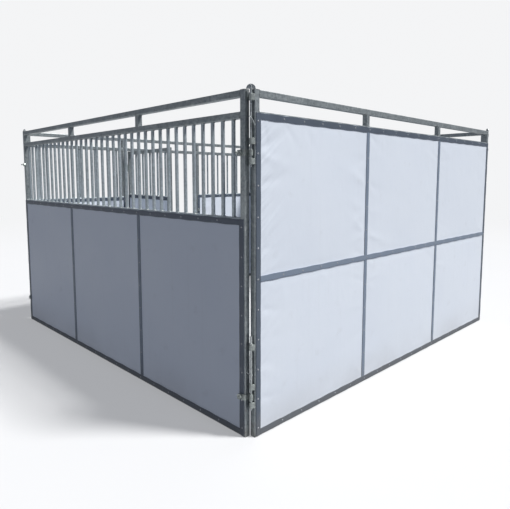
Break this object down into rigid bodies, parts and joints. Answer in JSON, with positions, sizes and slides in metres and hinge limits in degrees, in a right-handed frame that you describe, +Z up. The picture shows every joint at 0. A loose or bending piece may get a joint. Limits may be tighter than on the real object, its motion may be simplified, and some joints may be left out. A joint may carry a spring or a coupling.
{
  "type": "portable horse stall",
  "caption": "Square portable stall of pinned square-tube panels with clad walls, a barred upper front and side, and a swing door.",
  "frame": {"origin": "on the ground under the middle of the stall's outer box", "axes": "+Z up, -Y out through the barred front, +X out through the clad side, -X out through the side with the door"},
  "size_m": [3.6926, 3.77, 2.1599],
  "materials": {
    "galvanised_tube": "dull hot-dip galvanised",
    "white_sheet": "coated cloth, satin",
    "clamp_strip": "dark grey flat bar with rivets",
    "steel_fittings": "galvanised, worn"
  },
  "bodies": {
    "stall": {"front_posts": "galvanised_tube", "right_posts": "galvanised_tube", "back_posts": "galvanised_tube", "left_posts": "galvanised_tube", "front_rails": "galvanised_tube", "left_rails": "galvanised_tube", "right_rails": "galvanised_tube", "back_rails": "galvanised_tube", "front_dividers": "galvanised_tube", "right_dividers": "galvanised_tube", "back_dividers": "galvanised_tube", "left_jambs": "galvanised_tube", "front_grille": "galvanised_tube", "left_grille_front": "galvanised_tube", "left_grille_back": "galvanised_tube", "front_sheet": "white_sheet", "right_sheet": "white_sheet", "back_sheet": "white_sheet", "left_sheets": "white_sheet", "front_strips": "clamp_strip", "right_strips": "clamp_strip", "back_strips": "clamp_strip", "left_strips": "clamp_strip", "front_right_lugs": "steel_fittings", "front_right_straps": "steel_fittings", "front_right_pins": "steel_fittings", "front_left_lugs": "steel_fittings", "front_left_straps": "steel_fittings", "front_left_pins": "steel_fittings", "back_right_lugs": "steel_fittings", "back_right_straps": "steel_fittings", "back_right_pins": "steel_fittings", "back_left_lugs": "steel_fittings", "back_left_straps": "steel_fittings", "back_left_pins": "steel_fittings", "jamb_hinges": "steel_fittings", "latch_keeper": "steel_fittings"},
    "door": {"door_stiles": "galvanised_tube", "door_rails": "galvanised_tube", "door_grille": "galvanised_tube", "door_sheet": "white_sheet", "door_strips": "clamp_strip", "door_hinges": "steel_fittings", "door_latch": "steel_fittings", "door_bolt": "steel_fittings"}
  },
  "joints": [
    {"name": "door_hinge", "type": "hinge", "parent": "stall", "child": "door", "pos_m": [-1.788, -0.575, 0], "axis": [0, 0, 1], "range_deg": [-78, 97]}
  ]
}
